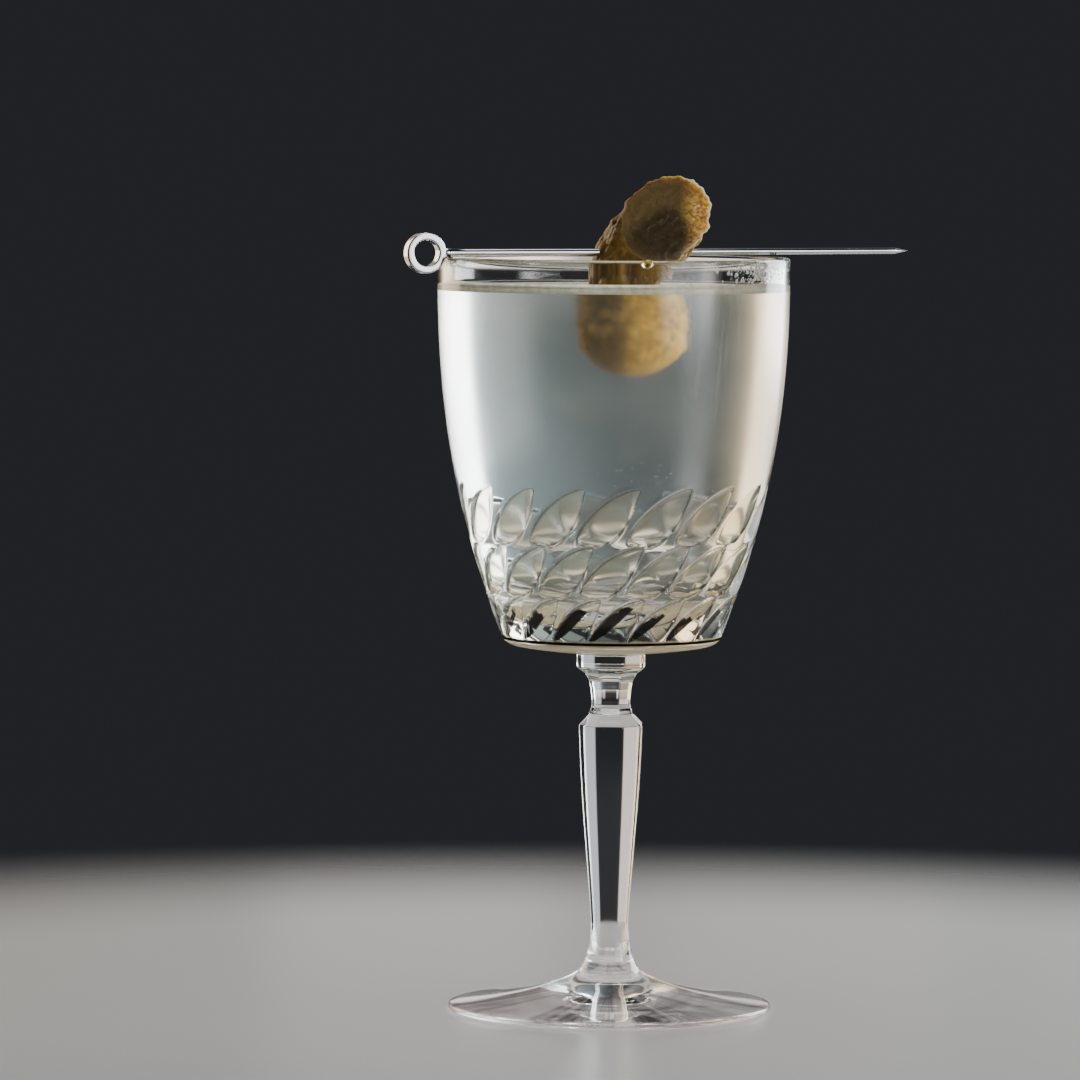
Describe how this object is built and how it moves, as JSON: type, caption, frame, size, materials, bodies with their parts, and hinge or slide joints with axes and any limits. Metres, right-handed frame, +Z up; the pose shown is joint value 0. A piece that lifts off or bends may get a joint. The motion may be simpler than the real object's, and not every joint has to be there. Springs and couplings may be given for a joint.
{
  "type": "gherkin cocktail in a stemmed glass",
  "caption": "Short cocktail in a cut stemmed glass, with a slant-cut gherkin on a steel pick laid across the rim.",
  "frame": {"origin": "centre of the foot's flat underside, on the glass's axis", "axes": "+Z up along the glass's axis, the viewer in front at -Y, the pick's point to the right at +X"},
  "size_m": [0.1094, 0.0762, 0.1813],
  "materials": {
    "clear_glass": "clear, fire-polished, with cut leaves",
    "cloudy_drink": "cloudy pale grey-green liquid",
    "pickled_gherkin": "wet, warty olive-brown skin with a golden-brown cut face",
    "polished_steel": "polished stainless steel"
  },
  "bodies": {
    "root": {"glass": "clear_glass", "drink": "cloudy_drink", "gherkin": "pickled_gherkin", "pick": "polished_steel"}
  },
  "joints": []
}
